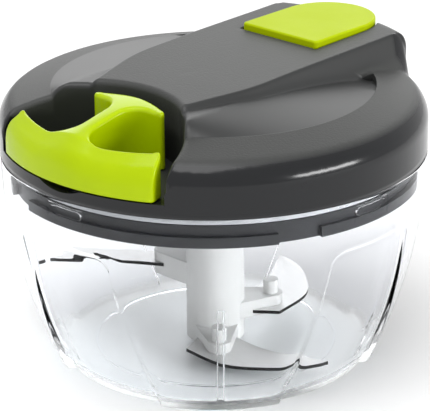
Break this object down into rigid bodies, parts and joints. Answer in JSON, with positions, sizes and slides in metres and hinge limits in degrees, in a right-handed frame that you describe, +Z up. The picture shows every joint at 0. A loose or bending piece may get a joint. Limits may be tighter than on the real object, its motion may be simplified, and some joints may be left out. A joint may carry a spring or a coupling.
{
  "type": "pull-cord food chopper",
  "caption": "Hand food chopper with a clear arched bowl, sickle blades on a white hub, and a dark lid with a green pull handle set in a recess and a green tab at the rear.",
  "frame": {"origin": "middle of the bowl's underside, on the bowl's axis", "axes": "+Z up along the bowl's axis, -Y towards the pull handle, +Y towards the release key"},
  "size_m": [0.148, 0.1508, 0.1082],
  "materials": {
    "clear_plastic": "clear gloss",
    "dark_plastic": "fine satin texture",
    "green_gloss": "gloss",
    "green_matte": "satin",
    "white_plastic": "satin",
    "steel": "brushed",
    "soft_seal": "matte",
    "cord_fabric": "braided"
  },
  "bodies": {
    "bowl": {"bowl": "clear_plastic", "blade_pin": "steel"},
    "blades": {"blade_hub": "white_plastic", "blade_lower": "steel", "blade_middle": "steel", "blade_upper": "steel"},
    "seal": {"seal_ring": "soft_seal"},
    "lid": {"lid_base": "dark_plastic", "lid_cover": "dark_plastic", "lid_screws": "steel", "spool_bush": "white_plastic", "return_spring": "steel", "spring_cover": "white_plastic", "spool_bridge": "white_plastic", "bridge_screws": "steel", "cord_guide": "steel", "pull_cord": "cord_fabric", "key_pin": "steel", "key_spring": "steel"},
    "spool": {"cord_spool": "white_plastic", "cord_winding": "cord_fabric", "drive_dog": "white_plastic", "dog_screw": "steel"},
    "handle": {"handle_grip": "green_gloss", "handle_plug": "green_gloss", "cord_knot": "cord_fabric"},
    "key": {"release_key": "green_matte"}
  },
  "joints": [
    {"name": "lid_lift", "type": "slide", "parent": "bowl", "child": "seal", "axis": [0, 0, 1], "range_m": [0, 0.12]},
    {"name": "lid_turn", "type": "hinge", "parent": "seal", "child": "lid", "pos_m": [0, 0, 0.076], "axis": [0, 0, 1], "range_deg": [0, 23.2]},
    {"name": "handle_pull", "type": "slide", "parent": "lid", "child": "handle", "axis": [0, -1, 0], "range_m": [0, 0.3], "stiffness_N_per_m": 20, "springref_m": -0.05, "deforming": ["pull_cord"]},
    {"name": "spool_turn", "type": "hinge", "parent": "lid", "child": "spool", "pos_m": [0, 0, 0.089], "axis": [0, 0, 1], "range_deg": [-1035, 0], "deforming": ["return_spring"]},
    {"name": "blade_spin", "type": "hinge", "parent": "bowl", "child": "blades", "pos_m": [0, 0, 0.004], "axis": [0, 0, 1], "range_deg": [-1035, 0]},
    {"name": "key_press", "type": "hinge", "parent": "lid", "child": "key", "pos_m": [0, 0.0369, 0.1036], "axis": [-1, 0, 0], "range_deg": [0, 3], "stiffness_Nm_per_rad": 0.2, "springref_deg": -5.73, "deforming": ["key_spring"]}
  ],
  "couplings": [
    {"joint": "spool_turn", "follows": "handle_pull", "rad_per_m": -59.7},
    {"joint": "blade_spin", "follows": "handle_pull", "rad_per_m": -59.7}
  ]
}
